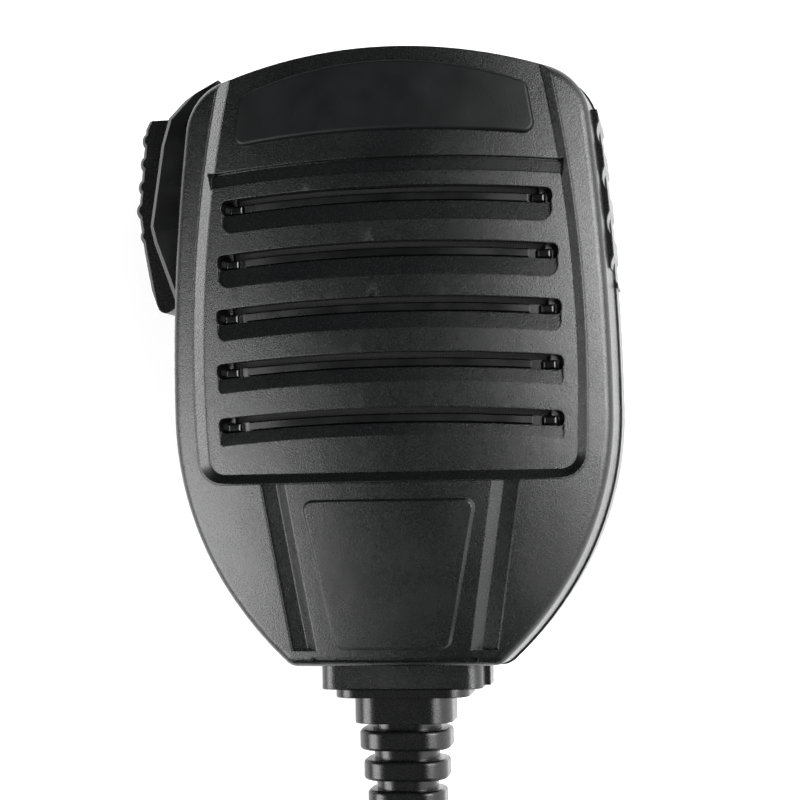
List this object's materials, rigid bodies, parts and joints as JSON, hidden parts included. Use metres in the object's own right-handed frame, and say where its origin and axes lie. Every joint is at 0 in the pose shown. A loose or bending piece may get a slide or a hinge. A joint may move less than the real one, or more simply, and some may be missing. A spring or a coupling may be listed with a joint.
{
  "type": "hand microphone",
  "caption": "Palm-size hand microphone with a louvred grille, side push-to-talk key, hanger button on the back and a curled cord ending in a modular plug.",
  "frame": {"origin": "centre of the hanger button's outer face, on the back of the case", "axes": "+X to the right seen from the front, +Y towards the top of the case, away from the cord, +Z out of the grille"},
  "size_m": [0.0727, 0.2916, 0.0311],
  "materials": {
    "black_case": "spark-eroded satin black",
    "black_panel": "spark-eroded satin black",
    "black_key": "smooth satin black",
    "black_rubber": "matt moulded rubber",
    "plate_black": "blank satin plate",
    "dust_cloth": "fine woven cloth",
    "steel": "zinc-plated",
    "spring_steel": "spring steel",
    "brass": "turned brass",
    "capsule_metal": "drawn can",
    "board": "green circuit board",
    "chip_black": "moulded epoxy",
    "capacitor_sleeve": "shrunk sleeve",
    "switch_plastic": "moulded",
    "plunger_plastic": "moulded",
    "header_plastic": "natural nylon",
    "tin": "tin-plated",
    "wire_insulation": "coloured insulation",
    "cord_black": "soft polyurethane jacket",
    "label_grey": "blank foil label",
    "plug_clear": "clear moulded plastic",
    "gold": "gold-plated contacts"
  },
  "bodies": {
    "case": {"front_case": "black_case", "rear_case": "black_case", "case_gasket": "black_rubber", "grille_panel": "black_panel", "name_plate": "plate_black", "grille_baffle": "black_key", "dust_screen": "dust_cloth", "side_grip_front": "black_rubber", "side_grip_rear": "black_rubber", "rear_label": "label_grey", "ptt_pivot_pin": "steel", "ptt_spring": "spring_steel", "ptt_switch": "switch_plastic", "main_pcb": "board", "mic_capsule": "capsule_metal", "mic_boot": "black_rubber", "mic_leads": "tin", "chip_parts": "chip_black", "capacitor": "capacitor_sleeve", "cord_header": "header_plastic", "header_pins": "tin", "cord_socket": "header_plastic", "inner_wires": "wire_insulation", "cord_stub": "cord_black", "cord_clamp": "switch_plastic", "case_screws": "steel", "threaded_inserts": "brass", "pcb_screws": "steel", "clamp_screws": "steel", "hanger_button": "steel", "hanger_washer": "steel", "hanger_screw": "steel", "strain_relief_boot": "black_rubber", "cord_tail": "cord_black", "cord_curl": "cord_black", "cord_lead": "cord_black", "plug_boot": "black_rubber", "plug_body": "plug_clear", "plug_contacts": "gold"},
    "ptt": {"ptt_key": "black_key", "ptt_grip": "black_rubber"},
    "switch_plunger": {"switch_plunger": "plunger_plastic"},
    "plug_latch": {"plug_latch": "plug_clear"}
  },
  "joints": [
    {"name": "ptt_press", "type": "hinge", "parent": "case", "child": "ptt", "pos_m": [-0.0265, 0.0325, 0.017], "axis": [0, 0, 1], "range_deg": [0, 4.5], "stiffness_Nm_per_rad": 0.4, "springref_deg": -3.44, "deforming": ["ptt_spring"]},
    {"name": "plunger_slide", "type": "slide", "parent": "case", "child": "switch_plunger", "axis": [1, 0, 0], "range_m": [0, 0.0016]},
    {"name": "latch_press", "type": "hinge", "parent": "case", "child": "plug_latch", "pos_m": [0.027, -0.0754, 0.0073], "axis": [1, 0, 0], "range_deg": [0, 8], "stiffness_Nm_per_rad": 0.2, "springref_deg": -2.86}
  ],
  "couplings": [
    {"joint": "plunger_slide", "follows": "ptt_press", "m_per_rad": 0.0185}
  ]
}
